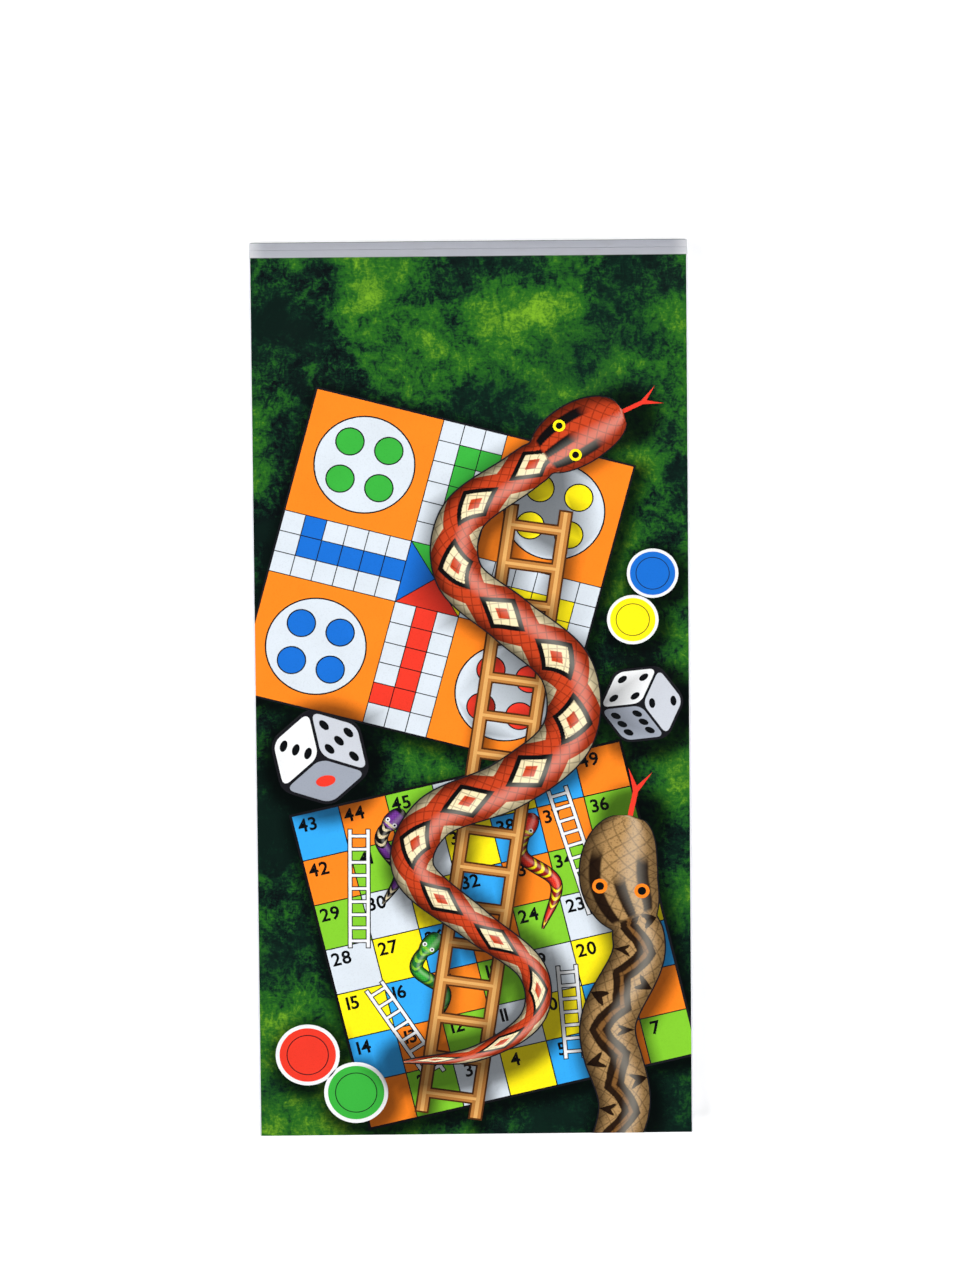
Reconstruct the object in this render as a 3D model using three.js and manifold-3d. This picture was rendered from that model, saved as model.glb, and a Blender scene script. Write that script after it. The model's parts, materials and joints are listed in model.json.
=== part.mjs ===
// A games board that folds in half like a book. It is closed and lies on its rear cover.
// Millimetres, +Z up. The spine is at -X, the fore-edge at +X and the head at +Y.
// The origin is under the middle of the closed board.
import * as THREE from 'three';
import { mergeVertices } from 'three/addons/utils/BufferGeometryUtils.js';
import Module from 'manifold-3d';

const wasm = await Module();
wasm.setup();

// Driving dimensions
const BOARD_LENGTH = 457; // head to tail, over the edge bands
const LEAF_WIDTH = 217; // spine to fore-edge, over the edge bands
const CORE_THICKNESS = 12; // fibreboard panel of one leaf
const COVER_SHEET_THICKNESS = 0.7; // printed and laminated sheet on the outside
const PLAY_SHEET_THICKNESS = 0.75; // printed and laminated sheet on the inside
const BAND_THICKNESS = 0.8; // white strip glued round the edges of a leaf
const BAND_EDGE_RADIUS = 0.35; // strip scraped round along its outer edges
const BAND_END_RADIUS = 0.6; // head and tail strips filed round at the corners of the leaf
const CLOTH_THICKNESS = 0.4; // hinge cloth
const CLOTH_FLAP = 6; // reach of the hinge cloth on each leaf, from the fold axis

// Clearances
const GLUE_LINE = 0.05; // between bonded layers
const CLOSED_GAP = 0.3; // between the playing faces of the closed leaves
const OPEN_GAP = 0.3; // between the spines of the open leaves
const CLOTH_EDGE_GAP = 0.3; // between the edge of the hinge cloth and the play sheet

const ARC_SEGMENTS = 8;

// Heights in one leaf, from its cover face up to its playing face
const CORE_BOTTOM = COVER_SHEET_THICKNESS + GLUE_LINE;
const CORE_TOP = CORE_BOTTOM + CORE_THICKNESS;
const PLAY_BOTTOM = CORE_TOP + GLUE_LINE;
const LEAF_THICKNESS = PLAY_BOTTOM + PLAY_SHEET_THICKNESS;
const AXIS_HEIGHT = LEAF_THICKNESS + CLOSED_GAP / 2;

// Distances across one leaf, from the fold axis
const SPINE_FACE = OPEN_GAP / 2;
const FORE_FACE = SPINE_FACE + LEAF_WIDTH;
const PANEL_START = SPINE_FACE + BAND_THICKNESS + GLUE_LINE;
const PANEL_END = FORE_FACE - BAND_THICKNESS - GLUE_LINE;
const PLAY_START = CLOTH_FLAP + CLOTH_EDGE_GAP;

// Length of what lies between the head and tail strips. Only the cover sheets run over them.
const PANEL_LENGTH = BOARD_LENGTH - 2 * (BAND_THICKNESS + GLUE_LINE);

// Hinge cloth: folded into a U when closed, and just long enough to lie flat when the board is open
const FOLD_OUTER_RADIUS = AXIS_HEIGHT - CORE_TOP - GLUE_LINE;
const FOLD_INNER_RADIUS = FOLD_OUTER_RADIUS - CLOTH_THICKNESS;
const FREE_LENGTH = (Math.PI * (FOLD_OUTER_RADIUS + FOLD_INNER_RADIUS)) / 2;
const FOLD_START = FREE_LENGTH / 2;

// Finishes
const FINISHES = {
  cover: { color: 0x24512b, roughness: 0.32, metalness: 0 },
  play: { color: 0xe0b23c, roughness: 0.32, metalness: 0 },
  core: { color: 0x9a7450, roughness: 0.85, metalness: 0 },
  band: { color: 0xe6e6ea, roughness: 0.45, metalness: 0 },
  cloth: { color: 0x26282b, roughness: 0.9, metalness: 0 },
};

function piece(name, geometry, finish) {
  const mesh = new THREE.Mesh(geometry, new THREE.MeshStandardMaterial(FINISHES[finish]));
  mesh.name = name;
  return mesh;
}

function extrude(shape, depth) {
  const settings = { depth, bevelEnabled: false, curveSegments: ARC_SEGMENTS };
  return new THREE.ExtrudeGeometry(shape, settings).translate(0, 0, -depth / 2);
}

// Turns an extrusion so that its drawing axes lie along the given directions
function turned(geometry, right, up) {
  const along = new THREE.Vector3().crossVectors(right, up);
  return geometry.applyMatrix4(new THREE.Matrix4().makeBasis(right, up, along));
}

function solidOf(geometry) {
  geometry.deleteAttribute('normal');
  geometry.deleteAttribute('uv');
  const merged = mergeVertices(geometry);
  const vertProperties = Float32Array.from(merged.attributes.position.array);
  const triVerts = Uint32Array.from(merged.index.array);
  return new wasm.Manifold(new wasm.Mesh({ numProp: 3, vertProperties, triVerts }));
}

function geometryOf(solid) {
  const { vertProperties, triVerts } = solid.getMesh();
  const geometry = new THREE.BufferGeometry();
  geometry.setAttribute('position', new THREE.BufferAttribute(vertProperties, 3));
  geometry.setIndex(new THREE.BufferAttribute(triVerts, 1));
  return geometry.toNonIndexed();
}

// A flat panel or sheet between two distances from the fold axis and two heights
function panel(start, end, bottom, top, length) {
  const geometry = new THREE.BoxGeometry(end - start, length, top - bottom);
  return geometry.translate((start + end) / 2, 0, (bottom + top) / 2);
}

// Outline with its inner side on the drawing's up axis and its two outer corners rounded
function bandOutline(thickness, low, high, radius) {
  const outline = new THREE.Shape();
  outline.moveTo(0, low);
  outline.lineTo(thickness - radius, low);
  outline.absarc(thickness - radius, low + radius, radius, -Math.PI / 2, 0, false);
  outline.lineTo(thickness, high - radius);
  outline.absarc(thickness - radius, high - radius, radius, 0, Math.PI / 2, false);
  outline.lineTo(0, high);
  outline.closePath();
  return outline;
}

const X = new THREE.Vector3(1, 0, 0);
const Y = new THREE.Vector3(0, 1, 0);
const Z = new THREE.Vector3(0, 0, 1);

// Strip along the fore-edge, of the leaf's full thickness
function foreBand() {
  const section = bandOutline(BAND_THICKNESS, 0, LEAF_THICKNESS, BAND_EDGE_RADIUS);
  return turned(extrude(section, PANEL_LENGTH), X, Z).translate(FORE_FACE - BAND_THICKNESS, 0, 0);
}

// Strip along the spine, which stops at the core's inner face so that the hinge cloth passes over it
function spineBand() {
  const section = bandOutline(BAND_THICKNESS, -CORE_TOP, 0, BAND_EDGE_RADIUS);
  const strip = turned(extrude(section, PANEL_LENGTH), X.clone().negate(), Z.clone().negate());
  return strip.translate(SPINE_FACE + BAND_THICKNESS, 0, 0);
}

// Strip across the head or the tail, which covers the ends of the long strips.
// It is rebated on its cover side, where the cover sheet runs over it to the edge of the leaf.
function endBand(outward) {
  const section = bandOutline(BAND_THICKNESS, 0, LEAF_THICKNESS, BAND_EDGE_RADIUS);
  const bar = turned(extrude(section, LEAF_WIDTH), Y, Z);
  const plan = bandOutline(BAND_THICKNESS, -LEAF_WIDTH / 2, LEAF_WIDTH / 2, BAND_END_RADIUS);
  const plate = turned(extrude(plan, LEAF_THICKNESS), Y, X.clone().negate());
  plate.translate(0, 0, LEAF_THICKNESS / 2);
  const rebateWidth = PANEL_END - PANEL_START + 2 * GLUE_LINE;
  const rebate = new THREE.BoxGeometry(rebateWidth, 4 * BAND_THICKNESS, 2 * CORE_BOTTOM);
  const strip = geometryOf(solidOf(bar).intersect(solidOf(plate)).subtract(solidOf(rebate)));
  if (outward < 0) strip.rotateZ(Math.PI);
  const inner = BOARD_LENGTH / 2 - BAND_THICKNESS;
  return strip.translate((SPINE_FACE + FORE_FACE) / 2, outward * inner, 0);
}

// One leaf with its cover face down, its playing face up and the fold axis over x = 0.
// headSide is the side of the leaf's own y axis that lies at the board's head.
function leaf(name, headSide) {
  const group = new THREE.Group();
  const cover = panel(PANEL_START, PANEL_END, 0, COVER_SHEET_THICKNESS, BOARD_LENGTH);
  const core = panel(PANEL_START, PANEL_END, CORE_BOTTOM, CORE_TOP, PANEL_LENGTH);
  const play = panel(PLAY_START, PANEL_END, PLAY_BOTTOM, LEAF_THICKNESS, PANEL_LENGTH);
  group.add(piece(`${name}_core`, core, 'core'));
  group.add(piece(`${name}_cover_sheet`, cover, 'cover'));
  group.add(piece(`${name}_play_sheet`, play, 'play'));
  group.add(piece(`${name}_head_band`, endBand(headSide), 'band'));
  group.add(piece(`${name}_tail_band`, endBand(-headSide), 'band'));
  group.add(piece(`${name}_fore_band`, foreBand(), 'band'));
  group.add(piece(`${name}_spine_band`, spineBand(), 'band'));
  return group;
}

// Cloth glued to the inner faces of both cores and folded between them round the fold axis
function hingeCloth() {
  const section = new THREE.Shape();
  section.moveTo(CLOTH_FLAP, FOLD_OUTER_RADIUS);
  section.lineTo(FOLD_START, FOLD_OUTER_RADIUS);
  section.absarc(FOLD_START, 0, FOLD_OUTER_RADIUS, Math.PI / 2, 1.5 * Math.PI, false);
  section.lineTo(CLOTH_FLAP, -FOLD_OUTER_RADIUS);
  section.lineTo(CLOTH_FLAP, -FOLD_INNER_RADIUS);
  section.lineTo(FOLD_START, -FOLD_INNER_RADIUS);
  section.absarc(FOLD_START, 0, FOLD_INNER_RADIUS, 1.5 * Math.PI, Math.PI / 2, true);
  section.lineTo(CLOTH_FLAP, FOLD_INNER_RADIUS);
  section.closePath();
  const cloth = piece('hinge_cloth', turned(extrude(section, PANEL_LENGTH), X, Z), 'cloth');
  cloth.position.z = AXIS_HEIGHT;
  return cloth;
}

const rearLeaf = leaf('rear', 1);
const frontLeaf = leaf('front', -1);
frontLeaf.rotation.x = Math.PI;
frontLeaf.position.z = 2 * AXIS_HEIGHT;

const board = new THREE.Group();
board.add(rearLeaf, frontLeaf, hingeCloth());
board.position.x = -(SPINE_FACE + FORE_FACE) / 2;

export default board;
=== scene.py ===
"""A snakes and ladders board that folds like a book: printed sheets, edge strips, cores and hinge cloth."""

import json
import math
from collections import namedtuple
from functools import cache

import bmesh
import bpy
import numpy as np
from mathutils import Matrix, Vector


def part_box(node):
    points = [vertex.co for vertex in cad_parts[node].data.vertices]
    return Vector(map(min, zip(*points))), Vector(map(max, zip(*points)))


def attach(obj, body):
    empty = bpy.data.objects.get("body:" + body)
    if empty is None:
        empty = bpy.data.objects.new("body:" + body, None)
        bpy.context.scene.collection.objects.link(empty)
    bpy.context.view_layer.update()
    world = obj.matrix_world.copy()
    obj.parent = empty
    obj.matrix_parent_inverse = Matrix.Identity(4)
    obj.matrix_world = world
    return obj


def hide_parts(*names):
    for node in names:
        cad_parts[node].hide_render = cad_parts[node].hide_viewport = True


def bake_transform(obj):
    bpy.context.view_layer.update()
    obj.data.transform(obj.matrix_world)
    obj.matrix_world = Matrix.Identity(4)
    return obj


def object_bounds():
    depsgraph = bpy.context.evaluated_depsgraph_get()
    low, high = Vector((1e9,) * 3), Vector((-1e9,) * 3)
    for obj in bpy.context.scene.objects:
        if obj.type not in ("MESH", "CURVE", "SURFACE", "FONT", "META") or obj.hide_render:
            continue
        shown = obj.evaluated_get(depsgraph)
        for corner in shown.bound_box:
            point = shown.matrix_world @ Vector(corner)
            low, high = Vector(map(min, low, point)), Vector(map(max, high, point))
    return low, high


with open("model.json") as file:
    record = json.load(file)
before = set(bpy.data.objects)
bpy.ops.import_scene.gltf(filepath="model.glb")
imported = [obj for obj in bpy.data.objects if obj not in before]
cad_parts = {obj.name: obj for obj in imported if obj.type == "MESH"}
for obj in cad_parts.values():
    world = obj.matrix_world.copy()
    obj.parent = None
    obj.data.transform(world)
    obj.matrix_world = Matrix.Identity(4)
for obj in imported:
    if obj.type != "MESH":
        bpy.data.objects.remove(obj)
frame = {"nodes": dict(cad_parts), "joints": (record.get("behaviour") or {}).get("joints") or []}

bl_info = {
    "name": "Folding Games Board",
    "version": (1, 0, 0),
    "blender": (4, 5, 0),
    "location": "3D View > Sidebar > Games Board",
    "description": "Prints and finishes a folding snakes and ladders board around its packed frame",
    "category": "Object",
}

CAD_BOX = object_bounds()
MM = 0.001

# Places of the sheets, from the frame
COVER_LOW, COVER_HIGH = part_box("front_cover_sheet")
BACK_LOW, BACK_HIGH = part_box("rear_cover_sheet")
PLAY_LOW, PLAY_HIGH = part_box("rear_play_sheet")
CLOTH_LOW, CLOTH_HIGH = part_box("hinge_cloth")
FOLD = Vector(frame["joints"][0]["pos_m"])
COVER_MIDDLE = (COVER_LOW + COVER_HIGH) / 2
COVER_SIZE = ((COVER_HIGH.x - COVER_LOW.x) / MM, (COVER_HIGH.y - COVER_LOW.y) / MM)
PLAY_START = (PLAY_LOW.x - FOLD.x) / MM
PLAY_END = (PLAY_HIGH.x - FOLD.x) / MM
PLAY_LENGTH = (PLAY_HIGH.y - PLAY_LOW.y) / MM

# Photograph: its size, the pixel of the cover's middle, and the scale across the cover
PHOTO_SIZE = (960, 1280)
COVER_PIXEL = (472.4, 697.9)
PIXELS_PER_MM = 2.012

# Printed inks, as sRGB values
INKS = {
    "black": (14, 16, 18), "line": (26, 26, 30), "white": (232, 233, 234), "pale": (212, 220, 228),
    "grey": (196, 200, 208), "shade": (150, 156, 168), "orange": (250, 132, 34), "yellow": (252, 232, 26),
    "lime": (128, 198, 48), "green": (58, 172, 62), "sky": (52, 164, 236), "blue": (28, 108, 204),
    "red": (230, 58, 42), "dark_red": (150, 30, 26), "cream": (240, 222, 178), "rust": (196, 66, 32),
    "wood": (186, 124, 62), "light_wood": (222, 168, 98), "dark_wood": (78, 44, 20), "purple": (132, 66, 170),
    "leaf": (36, 120, 58), "tan": (176, 138, 88), "bark": (122, 84, 44), "umber": (40, 26, 16),
}
SQUARE_INKS = ("orange", "yellow", "lime", "sky", "pale")
NO_INK = (0, 0, 0, 1)

# Tones that the finishes add to their own colour, as sRGB values
TONES = {
    "moss_shadow": (4, 7, 7), "ink_patch": (205, 203, 198), "ink_dot": (170, 170, 170),
    "ink_shadow": (10, 10, 10), "scale_net": (20, 12, 8), "back_light": (255, 250, 235), "flank": (16, 8, 6),
    "skin_shadow": (8, 6, 6), "strip_streak": (186, 188, 204), "strip_dust": (170, 164, 152),
    "strip_end_highlight": (250, 250, 252), "fibre": (112, 82, 52), "speck": (84, 58, 36), "thread_highlight": (70, 72, 76),
    "worn_thread": (120, 118, 114), "floor": (250, 250, 250), "floor_patch": (238, 238, 240),
    "floor_glow": (255, 255, 255), "overhead": (70, 72, 76), "horizon": (246, 246, 248),
}

# Heights of the finest forms, in metres
PEEL_DEPTH = 0.00002
FIBRE_DEPTH = 0.0001
WEAVE_DEPTH = 0.00008
THREAD_PITCH = 0.00055

# Lights and darks of the cover's ground: a place in millimetres from the middle of the sheet, the distances
# at which it starts and is full, and what it adds to the light of the print
GROUND_SPOTS = {
    "glow": ((50, 160), (105, 0), 0.34),
    "meadow": ((-85, -205), (90, 0), 0.34),
    "dusk": ((-50, 85), (130, 20), -0.16),
    "shade": ((85, -190), (130, 30), -0.2),
}

# Form of a snake. The head's length, the rows of scales and the eyes' offset are in body widths.
# The neck, the body's rise and the eyes' place are in head lengths. The tail is a share of the whole.
HEAD_LENGTH = 1.95
HEAD_SWELL, HEAD_TIP, HEAD_CURVE = 1.2, 1e-4, 0.8
NECK_START, NECK_RUN, NECK_GIRTH = 0.45, 0.6, 0.78
BODY_RISE = 3
TAIL_SHARE, TAIL_TIP, TAIL_CURVE = 0.5, 0.004, 0.65
SCALE_ROW = 0.24
EYE_PLACE = 0.62
EYE_OFFSET = 0.33

# Outline of a forked tongue from a snake's nose on, along and across, in sizes of the tongue
TONGUE = [(-0.3, -0.05), (0.5, -0.05), (0.95, -0.24), (0.62, 0.0), (0.95, 0.24), (0.5, 0.05), (-0.3, 0.05)]

# Kinds of printed snakes and ladders, in millimetres. A ladder's width is between the middles of its rails.
Snake = namedtuple("Snake", "width step rim tongue eye pupil eye_sides pupil_sides", defaults=(28, 28))
Ladder = namedtuple("Ladder", "width rail rung pitch rim rim_ink ink light_rail light_rung", defaults=(0, 0))
CLIMBING_SNAKE = Snake(width=26, step=1.5, rim=0.7, tongue=20.8, eye=3.12, pupil=1.716)
RISING_SNAKE = Snake(width=32, step=1.5, rim=0.7, tongue=25.6, eye=3.84, pupil=2.112)
SMALL_SNAKE = Snake(width=7, step=1.0, rim=0.6, tongue=0, eye=1.15, pupil=0.55, eye_sides=14, pupil_sides=12)
PLAY_SNAKE = Snake(width=12, step=1.2, rim=0.8, tongue=12, eye=2.3, pupil=1.1, eye_sides=18, pupil_sides=14)
SMALL_LADDER = Ladder(width=9, rail=1.6, rung=1.4, pitch=6.5, rim=0.5, rim_ink="line", ink="white")
BIG_LADDER = Ladder(
    width=27, rail=5.2, rung=4.2, pitch=19, rim=0.9, rim_ink="dark_wood", ink="wood",
    light_rail=1.872, light_rung=1.512)
PLAY_LADDER = Ladder(
    width=17, rail=3.2, rung=2.6, pitch=11, rim=0.8, rim_ink="dark_wood", ink="wood",
    light_rail=1.2, light_rung=0.95)
RAIL_CUTS, RUNG_CUTS = 24, 6

# The cover's composition, in millimetres from the middle of the sheet.
# A motif's place is its centre and its turn in degrees.
CROSS_PLACE = ((-18, 62), -15)
CROSS_CELLS = 15
CROSS_BORDER = 1.6
CROSS_LINE = 0.5
PANEL_PLACE = ((10, -124), 13)
PANEL_COUNT = 7
PANEL_BORDER = 2.0
PANEL_TYPE = 9.5
BIG_LADDER_ENDS = ((-14, -218), (34, 98))
BIG_SNAKES = {
    "climbing_snake": (
        CLIMBING_SNAKE, ("rust", "cream", "black"), "yellow",
        [(76, 148), (54, 137), (24, 116), (-4, 94), (-6, 64), (20, 40), (47, 14), (47, -20), (18, -45),
         (-20, -62), (-30, -90), (0, -118), (28, -142), (28, -168), (0, -186), (-36, -190)]),
    "rising_snake": (
        RISING_SNAKE, ("tan", "bark", "umber"), "orange",
        [(78, -62), (72, -94), (82, -132), (66, -172), (74, -214), (62, -256), (60, -320)]),
}

# Dice by centre, edge, turn in degrees and numbers shown, and counters by centre, ink and scale
DICE = [((-76, -30), 31, 12, (1, 5, 3)), ((84, -4), 26, -24, (6, 2, 4))]
COUNTERS = [
    ((-84, -186), "red", 1.0), ((-60, -206), "green", 1.0),
    ((80, 40), "yellow", 0.8), ((90, 64), "blue", 0.8)]
COUNTER_RADIUS = 16.0

# Rings of a counter, from the rim in: share of its radius, sides, and ink where it isn't the counter's own
COUNTER_RINGS = {
    "counter_rim": (1.0, 56, "white"), "counter": (0.88, 56, None),
    "counter_ring": (0.66, 48, "line"), "counter_top": (0.63, 48, None),
}

# A die's outline, drawn edges, faces and pips, as shares of its edge.
# A face has two edges and an ink, and a pip a radius, sides and an ink.
DIE_OUTLINE = 0.85
DIE_EDGE = 0.82
DIE_EDGE_ANGLES = (210, 330, 90)
DIE_FACE = 0.93
DIE_CORNER = 0.17
DIE_FACES = (((0, 1), "shade"), ((1, 2), "grey"), ((2, 0), "white"))
PIP = (0.1, 20, "black")
LONE_PIP = (0.16, 24, "red")
PIP_STEP = 0.25
PIPS = {
    1: [(0, 0)],
    2: [(-1, -1), (1, 1)],
    3: [(-1, -1), (0, 0), (1, 1)],
    4: [(-1, -1), (1, -1), (1, 1), (-1, 1)],
    5: [(-1, -1), (1, -1), (0, 0), (1, 1), (-1, 1)],
    6: [(-1, -1), (-1, 0), (-1, 1), (1, -1), (1, 0), (1, 1)],
}

# The cross board's arms and corner yards by direction, in cells. Some cells of a lane have the arm's own ink.
# A ring has a radius and an ink, if it isn't the yard's own.
ARMS = {(0, 1): "green", (1, 0): "yellow", (0, -1): "red", (-1, 0): "blue"}
ARM_CELLS = 6
ARM_LANES = {-1: (), 0: (0, 1, 2, 3, 4), 1: (4,)}
HOME_REACH = 1.5
YARDS = {(1, 1): "yellow", (1, -1): "red", (-1, -1): "blue", (-1, 1): "green"}
YARD_MIDDLE = 4.5
YARD_SIZE = 6
YARD_RINGS = {"ludo_rings": (2.35, "line"), "ludo_yards": (2.28, "pale")}
YARD_SIDES = 56
SPOT_RINGS = {"ludo_rims": (0.68, "line"), "ludo_spots": (0.62, None)}
SPOT_SIDES = 32
SPOT_STEP = 0.92

# Ladders from foot to top, and snakes from head to tail, in squares of the numbered board from its first
PANEL_LADDERS = [
    ((0.2, 3.4), (0.8, 5.9)), ((1.1, 0.3), (0.3, 2.5)), ((5.2, 3.0), (5.0, 5.8)), ((4.0, 0.0), (4.3, 2.0))]
PANEL_SNAKES = [
    ([(4.4, 5.4), (3.95, 4.6), (4.5, 3.8), (4.0, 2.9)], ("red", "yellow", "dark_red")),
    ([(1.9, 3.3), (1.25, 2.7), (1.7, 2.0), (1.2, 1.3)], ("green", "lime", "leaf")),
    ([(1.8, 6.1), (1.2, 5.6), (1.4, 4.8), (0.9, 4.2)], ("purple", "cream", "black")),
]
PANEL_NUMBER_PLACE = (-0.22, 0.26)

# The playing face: ladders and snakes as columns and rows of the open board from 1
PLAY_COUNT = 10
PLAY_BORDER = 1.2
PLAY_LADDERS = [
    ((1, 1), (2, 4)), ((5, 1), (5, 4)), ((5, 6), (4, 9)),
    ((7, 1), (6, 4)), ((10, 2), (10, 5)), ((8, 6), (9, 9))]
PLAY_SNAKES = [
    ((4, 5), (3, 1), ("red", "yellow", "dark_red")),
    ((1, 8), (3, 5), ("green", "lime", "leaf")),
    ((2, 10), (3, 7), ("blue", "sky", "black")),
    ((8, 5), (9, 1), ("purple", "cream", "black")),
    ((6, 9), (7, 5), ("orange", "cream", "dark_red")),
    ((10, 10), (10, 7), ("leaf", "yellow", "black")),
]
PLAY_NUMBER_PLACE = (-0.24, 0.32)
SNAKE_SWAY = 9
SNAKE_WAVE = 34
LEAST_WAVES = 1.5
STRAIGHT_SHARE = 0.2
SNAKE_KNOTS = 25

# Levels of the print, in layers over the sheet
LEVELS = {
    "ludo_ground": 1, "ludo_cells": 2, "ludo_rings": 3, "ludo_yards": 4, "ludo_rims": 5, "ludo_spots": 6,
    "panel_ground": 7, "panel_squares": 8, "panel_numbers": 9, "panel_ladder_rims": 10, "panel_ladders": 11,
    "panel_snake_rims": 12, "panel_snakes": 13, "panel_eyes": 14, "panel_pupils": 14.5,
    "ladder_rim": 15, "ladder": 16, "ladder_light": 17,
    "counter_rim": 15, "counter": 16, "counter_ring": 17, "counter_top": 18,
    "rising_snake_rim": 18, "rising_snake": 19, "rising_snake_eyes": 20, "rising_snake_pupils": 21,
    "die_rim": 18, "die": 19, "die_pips": 20,
    "climbing_snake_rim": 21, "climbing_snake": 22, "climbing_snake_eyes": 23, "climbing_snake_pupils": 24,
}
PLAY_LEVELS = {
    "field": 0.7, "squares": 1.4, "numbers": 2.1, "ladder_rims": 2.8, "ladders": 3.5, "ladder_lights": 4.2,
    "snake_rims": 4.9, "snakes": 5.6, "eyes": 6.2, "pupils": 6.8,
}

# Cuts of the sheets and squares, across and along, which carry the soft shadows
COVER_CUTS, BACK_CUTS, PLAY_CUTS = (73, 153), (13, 27), (8, 16)
YARD_CUTS, PANEL_CUTS, SQUARE_CUTS = (20, 20), (8, 8), (4, 4)

# Printed shadows, in millimetres. The reach of a snake or a die is a share of its width or edge.
SHADOW_DROP = np.array((2.0, -3.0))
SHADOW_BLUR = 11.0
SNAKE_REACH = 0.42
DIE_REACH = 0.86
RAIL_REACH = 0.5
PATH_STEP = 5
RAIL_POINTS = 70

# Type of the numbers, in heights. Points nearer than the weld and edges under the sliver are merged.
TYPE_WEIGHT = 0.022
TYPE_GAP = 0.07
TYPE_MIDDLE = 0.35
TYPE_WELD, TYPE_SLIVER = 1e-3, 1e-4
TYPE_STEPS = 3

# Hinge cloth
CLOTH_THICKNESS = 0.4 * MM
FLAP_POINTS, FOLD_POINTS, CLOTH_LINES = 7, 17, 41

# Stage: lights by place, power and size, in metres and watts
LIGHTS = {
    "key": ((-1.1, 0.27, 2.2), 47, 1.5),
    "fill": ((1.1, 0.27, 2.2), 40, 1.5),
    "tail": ((0.0, -2.0, 1.2), 4, 1.8),
}
FLOOR_RADIUS = 60
FLOOR_SIDES = 96
FLOOR_GAP = 0.0002
SENSOR = 36
CLIP_END = 100


def linear(colour):
    """An sRGB colour of 0 to 255 as the linear colour that a shader takes."""
    parts = [c / 255 for c in colour]
    curved = [c / 12.92 if c <= 0.04045 else ((c + 0.055) / 1.055) ** 2.4 for c in parts]
    return (*curved, 1.0)


def ink(name):
    return linear(INKS[name])


def tone(name):
    return linear(TONES[name])


class BoardSizes(bpy.types.PropertyGroup):
    """Sizes of the print."""

    layer: bpy.props.FloatProperty(
        name="Ink layer", description="Height of one printed layer over the next", default=0.02 * MM,
        subtype="DISTANCE")
    play_margin: bpy.props.FloatProperty(
        name="Play margin", description="Plain border round the playing squares", default=6.5 * MM,
        subtype="DISTANCE")
    gutter_margin: bpy.props.FloatProperty(
        name="Gutter margin", description="Plain border beside the hinge cloth", default=0.8 * MM,
        subtype="DISTANCE")
    line: bpy.props.FloatProperty(
        name="Line", description="Width of the dark lines between squares", default=0.6 * MM,
        subtype="DISTANCE")
    number: bpy.props.FloatProperty(
        name="Number", description="Height of the type on the playing squares", default=11.0 * MM,
        subtype="DISTANCE")
    cross_cell: bpy.props.FloatProperty(
        name="Cross cell", description="Cell of the cross board on the cover", default=10.8 * MM,
        subtype="DISTANCE")
    panel_cell: bpy.props.FloatProperty(
        name="Panel square", description="Square of the numbered board on the cover", default=24.0 * MM,
        subtype="DISTANCE")


class BoardColours(bpy.types.PropertyGroup):
    """Colours of the finishes."""

    deep_green: bpy.props.FloatVectorProperty(
        name="Deep green", description="Darkest part of the cover print", subtype="COLOR", size=4,
        default=linear((9, 14, 17)))
    teal_green: bpy.props.FloatVectorProperty(
        name="Teal green", description="Cool shade between the clumps of the cover print", subtype="COLOR",
        size=4, default=linear((14, 42, 30)))
    mid_green: bpy.props.FloatVectorProperty(
        name="Mid green", description="Middle tone of the cover print", subtype="COLOR", size=4,
        default=linear((38, 98, 30)))
    bright_green: bpy.props.FloatVectorProperty(
        name="Bright green", description="Lightest part of the cover print", subtype="COLOR", size=4,
        default=linear((116, 168, 38)))
    # Edge strip colour: the strips are white plastic, painted grey and a little blue as painted shade, for
    # the shade that the strips lie in
    band: bpy.props.FloatVectorProperty(
        name="Edge strip", description="White plastic of the edge strips", subtype="COLOR", size=4,
        default=linear((170, 173, 184)))
    core: bpy.props.FloatVectorProperty(
        name="Core", description="Raw fibreboard", subtype="COLOR", size=4, default=linear((150, 112, 74)))
    cloth: bpy.props.FloatVectorProperty(
        name="Hinge cloth", description="Woven cloth of the hinge", subtype="COLOR", size=4,
        default=linear((38, 40, 43)))


class StageSettings(bpy.types.PropertyGroup):
    """Camera of the photograph's view."""

    lens: bpy.props.FloatProperty(name="Lens", description="Focal length", default=600.0, unit="CAMERA")
    tilt: bpy.props.FloatProperty(
        name="Tilt", description="Camera leans this far towards the head", default=math.radians(17.2),
        subtype="ANGLE")
    roll: bpy.props.FloatProperty(
        name="Roll", description="Turn of the picture", default=math.radians(0.55), subtype="ANGLE")


def size(name):
    """A size of the settings, in millimetres."""
    return getattr(bpy.context.scene.board_sizes, name) / MM


def colour(name):
    """A colour of the settings."""
    return tuple(getattr(bpy.context.scene.board_colours, name))


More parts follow.
